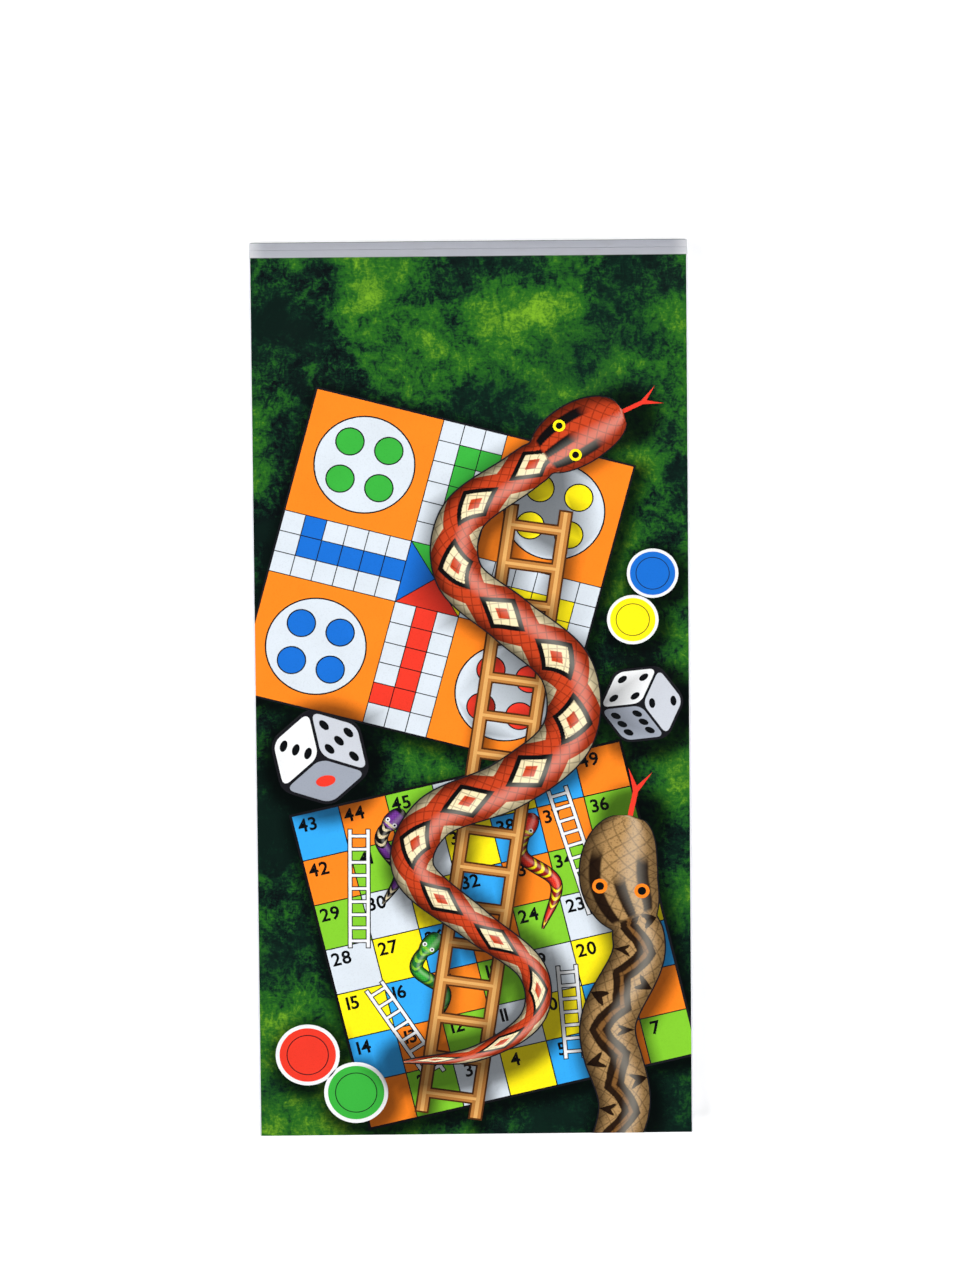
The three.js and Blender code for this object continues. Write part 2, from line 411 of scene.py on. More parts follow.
class Value:
    """One output socket. Arithmetic on it adds Math nodes to its tree."""

    def __init__(self, graph, socket):
        self.graph = graph
        self.socket = socket

    def math(self, operation, *values):
        """A Math node on the given values, or on this one alone."""
        return self.graph.node("ShaderNodeMath", {"operation": operation}, dict(enumerate(values or [self])))

    def other(self, name):
        """Another output of the same node."""
        return Value(self.graph, self.socket.node.outputs[name])

    def __add__(self, value):
        return self.math("ADD", self, value)

    def __sub__(self, value):
        return self.math("SUBTRACT", self, value)

    def __rsub__(self, value):
        return self.math("SUBTRACT", value, self)

    def __mul__(self, value):
        return self.math("MULTIPLY", self, value)

    def __truediv__(self, value):
        return self.math("DIVIDE", self, value)

    def __rtruediv__(self, value):
        return self.math("DIVIDE", value, self)

    __radd__ = __add__
    __rmul__ = __mul__

    def size(self):
        return self.math("ABSOLUTE")

    def fraction(self):
        return self.math("FRACT")

    def whole(self):
        return self.math("FLOOR")

    def sine(self):
        return self.math("SINE")

    def largest(self, value):
        return self.math("MAXIMUM", self, value)

    def ramp(self, low, high):
        """0 below low, 1 above high, and smooth between them. low may be the larger one."""
        settings = {"interpolation_type": "SMOOTHSTEP"}
        inputs = {"Value": self, "From Min": low, "From Max": high}
        return self.graph.node("ShaderNodeMapRange", settings, inputs)


class Graph:
    """Adds nodes to one tree."""

    def __init__(self, tree):
        self.tree = tree

    def node(self, kind, settings=None, inputs=None, output=0):
        """A node with its settings made first, then its sockets filled or linked. A list links each value."""
        made = self.tree.nodes.new(kind)
        for name, value in (settings or {}).items():
            setattr(made, name, value)
        for key, value in (inputs or {}).items():
            if isinstance(value, (Value, list)):
                for source in value if isinstance(value, list) else [value]:
                    self.tree.links.new(source.socket, made.inputs[key])
            else:
                made.inputs[key].default_value = value
        return Value(self, made.outputs[output]) if len(made.outputs) else None

    def axis(self, name, source):
        return self.node("ShaderNodeSeparateXYZ", None, {0: source}, output=name)

    def mix(self, factor, first, second, blend="MIX"):
        settings = {"data_type": "RGBA", "blend_type": blend, "clamp_factor": True}
        return self.node("ShaderNodeMix", settings, {0: factor, 6: first, 7: second}, output=2)


class Finish(Graph):
    """A material's tree, whose patterns lie on the object's own coordinates."""

    def __init__(self, name):
        self.material = bpy.data.materials.new(name)
        self.material.use_nodes = True
        super().__init__(self.material.node_tree)
        self.tree.nodes.clear()
        self.place = self.node("ShaderNodeTexCoord", output="Object")

    def attribute(self, name, output="Fac"):
        return self.node("ShaderNodeAttribute", {"attribute_name": name}, None, output)

    def noise(self, scale, detail=3.0, roughness=0.55, stretch=(1, 1, 1), shift=(0, 0, 0), swirl=0.0):
        """Noise with about scale features in a metre."""
        place = self.place
        if stretch != (1, 1, 1) or any(shift):
            inputs = {"Vector": place, "Location": shift, "Scale": stretch}
            place = self.node("ShaderNodeMapping", None, inputs)
        return self.node("ShaderNodeTexNoise", None, {
            "Vector": place, "Scale": scale, "Detail": detail, "Roughness": roughness, "Distortion": swirl})

    def far_from(self, point):
        """Distance from a point of the frame, in metres."""
        return self.node(
            "ShaderNodeVectorMath", {"operation": "DISTANCE"}, {0: self.place, 1: point}, output="Value")

    def bump(self, height, depth):
        return self.node("ShaderNodeBump", None, {"Height": height, "Distance": depth, "Strength": 1.0})

    def shaded(self, sockets):
        """Ends the tree in one Principled shader with these sockets. Returns the material."""
        surface = self.node("ShaderNodeBsdfPrincipled", None, sockets)
        self.node("ShaderNodeOutputMaterial", None, {"Surface": surface})
        return self.material


def laminate(finish, print_colour, dark, shadow):
    """Glossy film over a print that is darkened where a motif throws a shadow.

    The film has fine orange peel, and a gloss that is rubbed a little in places.
    """
    rubbed = finish.noise(22, 4).ramp(0.45, 0.75)
    fine = finish.noise(900, 2)
    peel = finish.noise(320, 2)
    return finish.shaded({
        "Base Color": finish.mix(finish.attribute("shadow") * dark, print_colour, tone(shadow)),
        "Roughness": 0.12 + rubbed * 0.06 + fine * 0.03,
        "Normal": finish.bump(peel + fine * 0.3, PEEL_DEPTH),
        "Specular IOR Level": 0.2,
        "Coat Weight": 0.06,
        "Coat Roughness": 0.08,
    })


@cache
def mossy_print():
    """The cover's ground: soft mossy clumps from near black to yellow green, printed and laminated."""
    finish = Finish("mossy_cover_print")
    clumps = finish.noise(21, 4, 0.55, shift=(0.31, 0.12, 0))
    tufts = finish.noise(64, 5, 0.62, swirl=0.8)
    blades = finish.noise(250, 3, 0.7, stretch=(1.0, 0.6, 1.0), swirl=1.6)
    grain = finish.noise(1000, 2, 0.7, stretch=(0.5, 1.0, 1.0))
    light = (clumps - 0.5) * 1.6 + (tufts - 0.5) * 1.1 + (blades - 0.5) * 0.8 + (grain - 0.5) * 0.5 + 0.4
    spots = {}
    for name, ((x, y), (start, full), weight) in GROUND_SPOTS.items():
        away = finish.far_from((x * MM, y * MM, COVER_HIGH.z))
        spots[name] = away.ramp(start * MM, full * MM)
        light = light + spots[name] * weight
    low = finish.mix(light.ramp(0.1, 0.46), colour("deep_green"), colour("teal_green"))
    middle = finish.mix(light.ramp(0.3, 0.66), low, colour("mid_green"))
    ground = finish.mix(light.ramp(0.6, 1.15), middle, colour("bright_green"))
    cold = clumps.ramp(0.5, 0.36) * 0.35 + spots["shade"] * 0.4
    cool = finish.mix(cold, ground, colour("teal_green"))
    return laminate(finish, cool, 0.92, "moss_shadow")


@cache
def ink_print():
    """Flat printed ink under film: each face brings its own ink, darkened where a motif throws a shadow."""
    finish = Finish("printed_ink")
    own = finish.attribute("ink", "Color")
    patchy = finish.noise(40, 3).ramp(0.3, 0.75)
    toned = finish.mix(patchy * 0.14, own, tone("ink_patch"), "MULTIPLY")
    dots = finish.noise(1400, 1).ramp(0.5, 0.75)
    dotted = finish.mix(dots * 0.12, toned, tone("ink_dot"), "MULTIPLY")
    return laminate(finish, dotted, 0.8, "ink_shadow")


class Skin(Finish):
    """A printed snake skin, with values that follow the body: along in body widths, across from -1 to 1."""

    def __init__(self, name):
        super().__init__(name)
        self.along = self.attribute("along") / self.attribute("wide")
        self.across = self.attribute("across")
        self.body = self.along.ramp(HEAD_LENGTH * 0.86, HEAD_LENGTH * 0.9)
        self.inks = [self.attribute(key, "Color") for key in ("ink", "second", "third")]

    def head_marks(self):
        """A streak behind each eye and one on the crown."""
        wide = self.across.size()
        cheek = (wide - 0.62).size().ramp(0.2, 0.12) * self.along.ramp(0.5, 0.8)
        crown = wide.ramp(0.2, 0.12) * self.along.ramp(0.9, 1.2)
        return (cheek + crown) * (1 - self.body)

    def rounded(self, pattern):
        """Adds the net of scales, the light along the back and the dark flanks."""
        slant = self.across * (0.5 / SCALE_ROW)
        down = self.along / SCALE_ROW
        one = ((down + slant).fraction() - 0.5).size()
        two = ((down - slant).fraction() - 0.5).size()
        net = one.largest(two).ramp(0.38, 0.49)
        scaled = self.mix(net * 0.45, pattern, tone("scale_net"))
        lit = (self.across + 0.34).size().ramp(0.5, 0.0)
        shone = self.mix(lit * 0.16, scaled, tone("back_light"))
        flanks = self.across.size().ramp(0.42, 1.0) * 0.62 + self.across.ramp(0.0, 1.0) * 0.22
        return laminate(self, self.mix(flanks, shone, tone("flank")), 0.85, "skin_shadow")


@cache
def banded_snake():
    """Printed snake skin with pairs of dark rings on pale bands."""
    skin = Skin("printed_banded_snake")
    main, second, third = skin.inks
    wavy = skin.along + skin.across * skin.across * 0.35
    edge = ((wavy / 2.6).fraction() - 0.5).size()
    rings = edge.ramp(0.30, 0.32) * edge.ramp(0.46, 0.44) + edge.ramp(0.16, 0.18) * edge.ramp(0.24, 0.22)
    snout = skin.along.ramp(0.5, 0.3)
    collar = skin.along.ramp(1.36, 1.4) * skin.along.ramp(1.6, 1.56)
    pale = skin.mix(edge.ramp(0.22, 0.24) * skin.body + collar, main, second)
    return skin.rounded(skin.mix(rings * skin.body + snout, pale, third))


@cache
def diamond_snake():
    """Printed snake skin with a chain of pale diamonds in dark frames, and pale corners on the flanks."""
    skin = Skin("printed_diamond_snake")
    main, second, third = skin.inks
    step = skin.along / 1.35
    wide = skin.across.size()
    diamond = (step.fraction() - 0.5).size() * 2.0 + wide * 1.05
    corner = ((step + 0.5).fraction() - 0.5).size() * 2.0 + (1 - wide) * 1.5
    framed = skin.mix(diamond.ramp(0.86, 0.81) * skin.body, main, third)
    pale = skin.mix(diamond.ramp(0.62, 0.57) * skin.body, framed, second)
    heart = skin.mix(diamond.ramp(0.3, 0.25) * skin.body, pale, main)
    dotted = skin.mix(corner.ramp(0.62, 0.57) * skin.body, heart, second)
    return skin.rounded(skin.mix(skin.head_marks(), dotted, third))


@cache
def zigzag_snake():
    """Printed snake skin with a dark zigzag down the back and spots in its bays."""
    skin = Skin("printed_zigzag_snake")
    main, second, third = skin.inks
    ragged = (skin.noise(170, 3) - 0.5) * 0.5
    sway = ((skin.along / 0.92).fraction() - 0.5).size() * 4.0 - 1.0
    off = (skin.across - sway * 0.3).size() + ragged * 0.3
    bay = skin.across + sway * 0.78
    spot = bay * bay * 12.0 + (1 - sway.size()) * 1.3 + ragged
    speck = skin.mix(skin.noise(900, 2).ramp(0.5, 0.68) * 0.4, main, third)
    edged = skin.mix(off.ramp(0.42, 0.36) * skin.body, speck, third)
    heart = skin.mix(off.ramp(0.13, 0.05) * skin.body, edged, second)
    return skin.rounded(skin.mix(spot.ramp(0.72, 0.6) * skin.body + skin.head_marks(), heart, third))


@cache
def strip_plastic():
    """Satin white edge strip, coloured grey as painted shade: faint streaks along it, dust in places and a
    painted highlight at its rounded ends.
    """
    finish = Finish("white_edge_strip")
    streaks = finish.noise(40, 4, stretch=(0.15, 0.15, 6.0))
    dust = finish.noise(120, 4).ramp(0.55, 0.8)
    # Painted highlight: the strip is lighter towards both ends, where its rounded corners would catch the
    # light
    ends = finish.axis("X", finish.place).size().ramp(0.1, 0.1085)
    cool = finish.mix(streaks * 0.22, colour("band"), tone("strip_streak"))
    dusty = finish.mix(dust * 0.14, cool, tone("strip_dust"))
    return finish.shaded({
        "Base Color": finish.mix(ends * 0.55, dusty, tone("strip_end_highlight")),
        "Roughness": 0.38 + streaks * 0.12 + dust * 0.1,
        "Normal": finish.bump(streaks + finish.noise(1500, 2) * 0.4, PEEL_DEPTH),
    })


@cache
def fibreboard():
    """Raw core: pressed fibres with darker specks."""
    finish = Finish("fibreboard_core")
    fibres = finish.noise(900, 4, 0.7, stretch=(1, 1, 2.5))
    specks = finish.noise(420, 3).ramp(0.6, 0.75)
    toned = finish.mix(fibres * 0.6, colour("core"), tone("fibre"))
    return finish.shaded({
        "Base Color": finish.mix(specks * 0.5, toned, tone("speck")),
        "Roughness": 0.8 + fibres * 0.15,
        "Normal": finish.bump(fibres, FIBRE_DEPTH),
    })


@cache
def book_cloth():
    """Woven hinge cloth: over and under threads that follow the cloth, with a painted highlight on the
    threads that lie on top.
    """
    finish = Finish("woven_hinge_cloth")
    place = finish.node("ShaderNodeUVMap", {"uv_map": "weave"})
    warp = finish.axis("X", place) * (1 / THREAD_PITCH)
    weft = finish.axis("Y", place) * (1 / THREAD_PITCH)
    over = ((warp * math.pi).sine() * (weft * math.pi).sine()).ramp(-0.4, 0.4)
    ribs = (warp * 2 * math.pi).sine() * over + (weft * 2 * math.pi).sine() * (1 - over)
    worn = finish.noise(160, 4).ramp(0.5, 0.8)
    # Painted highlight: the threads that lie on top are lighter
    toned = finish.mix(over * 0.45, colour("cloth"), tone("thread_highlight"))
    return finish.shaded({
        "Base Color": finish.mix(worn * 0.25, toned, tone("worn_thread")),
        "Roughness": 0.82 + worn * 0.1,
        "Normal": finish.bump(ribs + over, WEAVE_DEPTH),
    })


# Print layers that aren't in plain ink
SKINS = {
    "panel_snakes": banded_snake, "snakes": banded_snake,
    "climbing_snake": diamond_snake, "rising_snake": zigzag_snake,
}


def turned(points, centre, degrees):
    """Sheet points turned about the origin and then moved to a centre."""
    angle = math.radians(degrees)
    spin = np.array([[math.cos(angle), math.sin(angle)], [-math.sin(angle), math.cos(angle)]])
    return np.asarray(points, float) @ spin + np.asarray(centre, float)


def moved(points, centre, degrees):
    """Points of a slab, turned and moved as sheet points are."""
    return np.column_stack((turned(points[:, :2], centre, degrees), points[:, 2]))


def rectangle(width, height, centre=(0, 0)):
    corners = [(-0.5, -0.5), (0.5, -0.5), (0.5, 0.5), (-0.5, 0.5)]
    return np.array([(centre[0] + x * width, centre[1] + y * height) for x, y in corners])


def circle(radius, centre, count):
    turn = np.linspace(0, 2 * math.pi, count, endpoint=False)
    return np.column_stack((centre[0] + radius * np.cos(turn), centre[1] + radius * np.sin(turn)))


def rounded_square(side, radius, steps=5):
    """A square about the origin, with its corners rounded."""
    points = []
    for quarter in range(4):
        middle = turned([(side / 2 - radius, side / 2 - radius)], (0, 0), 90 * quarter)[0]
        for step in range(steps + 1):
            angle = math.pi / 2 * (quarter + step / steps)
            points.append((middle[0] + radius * math.cos(angle), middle[1] + radius * math.sin(angle)))
    return np.array(points)


def rounded_hexagon(radius, share=0.22, steps=5):
    """A hexagon with a corner straight up and its corners rounded."""
    corners = turned(circle(radius, (0, 0), 6), (0, 0), 30)
    points = []
    for before, here, after in zip(np.roll(corners, 1, axis=0), corners, np.roll(corners, -1, axis=0)):
        start = here + (before - here) * share
        end = here + (after - here) * share
        for t in np.linspace(0, 1, steps):
            points.append((1 - t) ** 2 * start + 2 * t * (1 - t) * here + t**2 * end)
    return points


def anticlockwise(points):
    """The same outline, run anticlockwise."""
    area = sum(a[0] * b[1] - b[0] * a[1] for a, b in zip(points, np.roll(points, -1, axis=0)))
    return points if area > 0 else points[::-1]


def smooth_path(points, step, fineness=60):
    """Points a step apart along a smooth curve through the given ones, and their distances along it."""
    knots = np.array(points, float)
    ends = np.vstack((2 * knots[0] - knots[1], knots, 2 * knots[-1] - knots[-2]))
    fine = []
    for a, b, c, d in zip(ends, ends[1:], ends[2:], ends[3:]):
        for t in np.linspace(0, 1, fineness, endpoint=False):
            fine.append(0.5 * (2 * b + (c - a) * t + (2 * a - 5 * b + 4 * c - d) * t**2
                               + (3 * b - a - 3 * c + d) * t**3))
    fine = np.array(fine + [knots[-1]])
    run = np.concatenate(([0], np.cumsum(np.linalg.norm(np.diff(fine, axis=0), axis=1))))
    places = np.linspace(0, run[-1], max(2, round(run[-1] / step) + 1))
    return np.column_stack([np.interp(places, run, fine[:, k]) for k in (0, 1)]), places


def sideways(run):
    """The direction to the left of a run, one unit long."""
    return np.array((-run[1], run[0])) / np.linalg.norm(run)


class SlabTree(Graph):
    """A Geometry Nodes tree with named inputs, which makes slabs."""

    def __init__(self, name, lengths, wholes=()):
        super().__init__(bpy.data.node_groups.new(name, "GeometryNodeTree"))
        self.socket("Geometry", "Geometry")
        for key in lengths:
            self.socket(key, "Float")
        for key in wholes:
            self.socket(key, "Int")
        self.socket("Material", "Material")
        self.socket("Geometry", "Geometry", "OUTPUT")
        self.entry = self.node("NodeGroupInput")
        self.values = [self.entry.other(key) for key in (*lengths, *wholes)]

    def socket(self, name, kind, way="INPUT"):
        self.tree.interface.new_socket(name=name, in_out=way, socket_type="NodeSocket" + kind)

    def vector(self, x=0.0, y=0.0, z=0.0):
        return self.node("ShaderNodeCombineXYZ", None, {0: x, 1: y, 2: z})

    def slab(self, width, height, across=2, along=2):
        """A slab one unit thick, with this many lines of points across and along."""
        inputs = {"Size": self.vector(width, height, 1.0), "Vertices X": across, "Vertices Y": along}
        return self.node("GeometryNodeMeshCube", None, inputs)

    def row(self, count, start, step):
        """Points in a row."""
        inputs = {"Count": count, "Start Location": start, "Offset": step}
        return self.node("GeometryNodeMeshLine", {"mode": "OFFSET"}, inputs)

    def on_points(self, points, slab):
        return self.node("GeometryNodeInstanceOnPoints", None, {"Points": points, "Instance": slab})

    def stored(self, geometry, name, value, kind, domain):
        """Keeps a value on the geometry as a named attribute."""
        inputs = {"Geometry": geometry, "Name": name, "Value": value}
        return self.node("GeometryNodeStoreNamedAttribute", {"data_type": kind, "domain": domain}, inputs)

    def done(self, geometry):
        """Ends the tree in Realize Instances and Set Material. Returns it."""
        solid = self.node("GeometryNodeRealizeInstances", None, {"Geometry": geometry})
        inputs = {"Geometry": solid, "Material": self.entry.other("Material")}
        self.node("NodeGroupOutput", None, {"Geometry": self.node("GeometryNodeSetMaterial", None, inputs)})
        return self.tree


@cache
def tiles_tree():
    """A field of slabs in rows and columns, each cut so that it can carry a soft shadow."""
    lengths = ("Cell Width", "Cell Height", "Line")
    tree = SlabTree("printed_squares", lengths, ("Columns", "Rows", "Cuts Across", "Cuts Along"))
    wide, high, line, columns, rows, across, along = tree.values
    grid = tree.node("GeometryNodeMeshGrid", None, {
        "Size X": wide * (columns - 1), "Size Y": high * (rows - 1),
        "Vertices X": columns, "Vertices Y": rows})
    laid = tree.on_points(grid, tree.slab(wide - line, high - line, across, along))
    return tree.done(tree.stored(laid, "tile", tree.node("GeometryNodeInputIndex"), "INT", "INSTANCE"))


@cache
def ladder_tree():
    """A ladder that lies along +Y from the origin: two rails, and rungs between them at an even pitch."""
    tree = SlabTree("printed_ladder", ("Length", "Width", "Rail", "Rung", "Pitch", "Grow"))
    length, width, rail, rung, pitch, grow = tree.values
    rails = tree.row(2, tree.vector(width * -0.5, length * 0.5), tree.vector(width))
    bar = tree.slab(rail + grow * 2, length + grow * 2, along=RAIL_CUTS)
    count = (length / pitch).whole()
    gap = length / count
    steps = tree.row(count, tree.vector(0.0, gap * 0.5), tree.vector(0.0, gap))
    tread = tree.slab(width - rail - grow * 2, rung + grow * 2, across=RUNG_CUTS)
    parts = [tree.on_points(rails, bar), tree.on_points(steps, tread)]
    return tree.done(tree.node("GeometryNodeJoinGeometry", None, {"Geometry": parts}))


@cache
def snake_tree():
    """A flat body swept along a path whose points carry their half width as the attribute girth."""
    tree = SlabTree("printed_snake", ("Grow",))
    path = tree.node("GeometryNodeMeshToCurve", None, {"Mesh": tree.entry.other("Geometry")})
    upright = tree.node("GeometryNodeSetCurveNormal", {"mode": "Z_UP"}, {"Curve": path})
    profile = tree.node("GeometryNodeCurvePrimitiveQuadrilateral", None, {"Width": 2.0, "Height": 2.0})
    across = tree.axis("X", tree.node("GeometryNodeInputPosition"))
    sided = tree.stored(profile, "across", across, "FLOAT", "POINT")
    girth = tree.node("GeometryNodeInputNamedAttribute", {"data_type": "FLOAT"}, {"Name": "girth"})
    body = tree.node("GeometryNodeCurveToMesh", None, {
        "Curve": upright, "Profile Curve": sided, "Scale": girth + tree.values[0], "Fill Caps": True})
    return tree.done(body)


@cache
def discs_tree():
    """Round slabs of one radius on some points."""
    tree = SlabTree("printed_discs", ("Radius",), ("Sides",))
    radius, sides = tree.values
    inputs = {"Vertices": sides, "Radius": radius, "Depth": 1.0}
    disc = tree.node("GeometryNodeMeshCylinder", None, inputs)
    return tree.done(tree.on_points(tree.entry.other("Geometry"), disc))


def plain_mesh(carrier):
    """Links an object, returns its evaluated mesh and removes it."""
    bpy.context.scene.collection.objects.link(carrier)
    graph = bpy.context.evaluated_depsgraph_get()
    made = bpy.data.meshes.new_from_object(carrier.evaluated_get(graph))
    bpy.data.objects.remove(carrier)
    return made


def store(mesh, name, values, kind="FLOAT", domain="POINT"):
    """Keeps numbers or colours of a mesh's points or faces as an attribute."""
    field = "color" if kind == "FLOAT_COLOR" else "value"
    mesh.attributes.new(name, kind, domain).data.foreach_set(field, np.asarray(values, np.float32).ravel())


def places_of(mesh):
    places = np.zeros(len(mesh.vertices) * 3)
    mesh.vertices.foreach_get("co", places)
    return places.reshape(-1, 3)


def grown(make, values, points=(), edges=(), attributes=None, wanted=()):
    """Runs a tree on some points. Returns its slabs as points, faces and the wanted numbers of the points."""
    seed = bpy.data.meshes.new("seed")
    seed.from_pydata([(*p, 0.0) for p in points], list(edges), [])
    for key, numbers in (attributes or {}).items():
        store(seed, key, numbers)
    carrier = bpy.data.objects.new("carrier", seed)
    modifier = carrier.modifiers.new("make", "NODES")
    modifier.node_group = make()
    for item in modifier.node_group.interface.items_tree:
        if item.in_out == "INPUT" and item.name in values:
            modifier[item.identifier] = values[item.name]
    made = plain_mesh(carrier)
    places = places_of(made)
    faces = [tuple(p.vertices) for p in made.polygons]
    kept = {key: np.zeros(len(places)) for key in wanted}
    for key, numbers in kept.items():
        made.attributes[key].data.foreach_get("value", numbers)
    bpy.data.meshes.remove(seed)
    bpy.data.meshes.remove(made)
    return places, faces, kept


@cache
def glyph(character):
    """A digit as a closed slab one unit high: its points and faces."""
    text = bpy.data.curves.new("digit", "FONT")
    text.body = character
    text.extrude = 0.5
    text.offset = TYPE_WEIGHT
    text.resolution_u = TYPE_STEPS
    made = plain_mesh(bpy.data.objects.new("digit", text))
    work = bmesh.new()
    work.from_mesh(made)
    bmesh.ops.remove_doubles(work, verts=work.verts, dist=TYPE_WELD)
    bmesh.ops.dissolve_degenerate(work, edges=work.edges, dist=TYPE_SLIVER)
    bmesh.ops.recalc_face_normals(work, faces=work.faces)
    points = np.array([v.co[:] for v in work.verts])
    faces = [tuple(v.index for v in f.verts) for f in work.faces]
    work.free()
    bpy.data.meshes.remove(made)
    return points, faces


def snake_girth(run, width):
    """Half width along a snake: a rounded head, a neck, an even body and a long thin tail."""
    share = run / (HEAD_LENGTH * width)
    bulge = 1 - (2 * np.clip(share, 0, 1) - 1) ** 2
    head = HEAD_SWELL * np.sqrt(np.clip(bulge, HEAD_TIP, None)) ** HEAD_CURVE
    neck = np.clip((share - NECK_START) / NECK_RUN, 0, 1)
    body = NECK_GIRTH + (1 - NECK_GIRTH) * np.clip((share - 1) / BODY_RISE, 0, 1)
    tail = np.clip((run[-1] - run) / (TAIL_SHARE * run[-1]), TAIL_TIP, 1) ** TAIL_CURVE
    return width / 2 * np.maximum(head, neck * neck * (3 - 2 * neck) * body) * tail


class Layer:
    """Thin slabs of print, in sheet millimetres, that share one level of a sheet and become one piece."""

    def __init__(self, material):
        self.material = material
        self.points = []
        self.faces = []
        self.inks = {"ink": [], "second": [], "third": []}
        self.numbers = {}

    def slabs(self, points, faces, inks, numbers=None):
        """Adds slabs: points with z over or under 0, faces, their inks, and numbers of the points."""
        first = len(self.points)
        for key, values in (numbers or {}).items():
            kept = self.numbers.setdefault(key, [])
            kept += [0.0] * (first - len(kept)) + list(values)
        self.points += [tuple(p) for p in points]
        self.faces += [tuple(first + i for i in face) for face in faces]
        for key, kept in self.inks.items():
            name = inks.get(key)
            kept += name if isinstance(name, list) else [name] * len(faces)

    def outline(self, outline, name):
        """Adds one slab over an outline that runs anticlockwise."""
        count = len(outline)
        points = [(x, y, -1.0) for x, y in outline] + [(x, y, 1.0) for x, y in outline]
        faces = [tuple(range(count, 2 * count)), tuple(range(count - 1, -1, -1))]
        for i in range(count):
            j = (i + 1) % count
            faces.append((i, j, count + j, count + i))
        self.slabs(points, faces, {"ink": name})

    def number(self, number, centre, height, degrees):
        """Adds a number, centred on a sheet point."""
        parts = []
        pen = 0.0
        for character in str(number):
            points, faces = glyph(character)
            low, high = points[:, 0].min(), points[:, 0].max()
            parts.append((points + (pen - low, 0, 0), faces))
            pen += high - low + TYPE_GAP
        middle = (pen - TYPE_GAP) / 2
        for points, faces in parts:
            sized = (points - (middle, TYPE_MIDDLE, 0)) * (height, height, 1)
            self.slabs(moved(sized, centre, degrees), faces, {"ink": "black"})

    def tiles(self, counts, cell, line, cuts, centre, degrees, tile_ink):
        """Adds a field of squares. tile_ink gives the ink of a column and a row."""
        columns, rows = counts
        values = {
            "Columns": columns, "Rows": rows, "Cell Width": cell[0], "Cell Height": cell[1], "Line": line,
            "Cuts Across": cuts[0], "Cuts Along": cuts[1], "Material": self.material}
        points, faces, kept = grown(tiles_tree, values, wanted=("tile",))
        tiles = [int(kept["tile"][face[0]]) for face in faces]
        inks = [tile_ink(tile // rows, tile % rows) for tile in tiles]
        self.slabs(moved(points, centre, degrees), faces, {"ink": inks})

    def ladder(self, start, end, width, rail, rung, pitch, grow, name):
        """Adds a ladder from one sheet point to another."""
        run = np.subtract(end, start)
        values = {
            "Length": float(np.hypot(*run)), "Width": width, "Rail": rail, "Rung": rung, "Pitch": pitch,
            "Grow": grow, "Material": self.material}
        points, faces, _ = grown(ladder_tree, values)
        degrees = math.degrees(math.atan2(run[1], run[0])) - 90
        self.slabs(moved(points, start, degrees), faces, {"ink": name})

    def snake(self, path, run, width, skin, grow=0.0):
        """Adds a snake's body along a path that starts at its nose."""
        edges = [(i, i + 1) for i in range(len(path) - 1)]
        widths = np.full(len(path), width * MM)
        attributes = {"girth": snake_girth(run, width), "along": run * MM, "wide": widths}
        values = {"Grow": grow, "Material": self.material}
        points, faces, kept = grown(snake_tree, values, path, edges, attributes, ("along", "across", "wide"))
        self.slabs(points, faces, dict(zip(self.inks, skin)), kept)

    def discs(self, centres, radius, sides, name):
        """Adds round slabs."""
        values = {"Radius": radius, "Sides": sides, "Material": self.material}
        points, faces, _ = grown(discs_tree, values, centres)
        self.slabs(points, faces, {"ink": name})

    def piece(self, name, place, level, body, slot, casts=(), trim=False, depth=0.0, node=None):
        """Makes the layer's piece: trimmed to the cover, shaded, flattened to its level and put in place."""
        mesh = bpy.data.meshes.new(name)
        mesh.from_pydata(self.points, [], self.faces)
        for key, inks in self.inks.items():
            if any(inks):
                colours = [ink(own) if own else NO_INK for own in inks]
                store(mesh, key, colours, "FLOAT_COLOR", "FACE")
        for key, values in self.numbers.items():
            store(mesh, key, values + [0.0] * (len(self.points) - len(values)))
        if trim:
            trim_to_cover(mesh)
        spots = places_of(mesh)
        above = [cast for cast in casts if cast.level > level]
        if above:
            store(mesh, "shadow", soft_shadow(spots[:, :2], above))
        heights = np.where(spots[:, 2] > 0, level * size("layer"), -depth)
        mesh.vertices.foreach_set("co", place(spots[:, 0], spots[:, 1], heights).ravel())
        mesh.materials.append(self.material)
        mesh.update()
        piece = link_piece(name, mesh, node)
        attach(piece, body)


class Print(dict):
    """The layers of one printed face, by name. A layer is made when it is first asked for."""

    def __missing__(self, name):
        self[name] = Layer(SKINS.get(name, ink_print)())
        return self[name]

    def snake(self, layers, kind, knots, skin, eye_ink="white"):
        """Draws a snake from its nose: its dark rim and tongue, its body, its eyes and their pupils."""
        rim, body, eyes, pupils = (self[name] for name in layers)
        path, run = smooth_path(knots, kind.step)
        rim.snake(path, run, kind.width, ("line", "line", "line"), kind.rim)
        if kind.tongue:
            rim.outline(anticlockwise(tongue(path, kind.tongue)), "red")
        body.snake(path, run, kind.width, skin)
        places = eye_places(path, run, kind.width)
        eyes.discs(places, kind.eye, kind.eye_sides, eye_ink)
        pupils.discs(places, kind.pupil, kind.pupil_sides, "black")

    def ladder(self, layers, kind, start, end):
        """Draws a ladder: its rim, its bars, and a lighter strip along every bar where the kind has one."""
        looks = [
            (kind.rail, kind.rung, kind.rim, kind.rim_ink), (kind.rail, kind.rung, 0.0, kind.ink),
            (kind.light_rail, kind.light_rung, 0.0, "light_wood")]
        for name, (rail, rung, grow, own) in zip(layers, looks):
            self[name].ladder(start, end, kind.width, rail, rung, kind.pitch, grow, own)

    def lay_on_cover(self):
        """Makes the layers pieces of the front cover, with the shadows of the motifs above them."""
        casts = cover_casts()
        for name, layer in self.items():
            layer.piece("cover_" + name, ON_COVER, LEVELS[name], "front_leaf", "cover_print", casts, True)
        return {"FINISHED"}


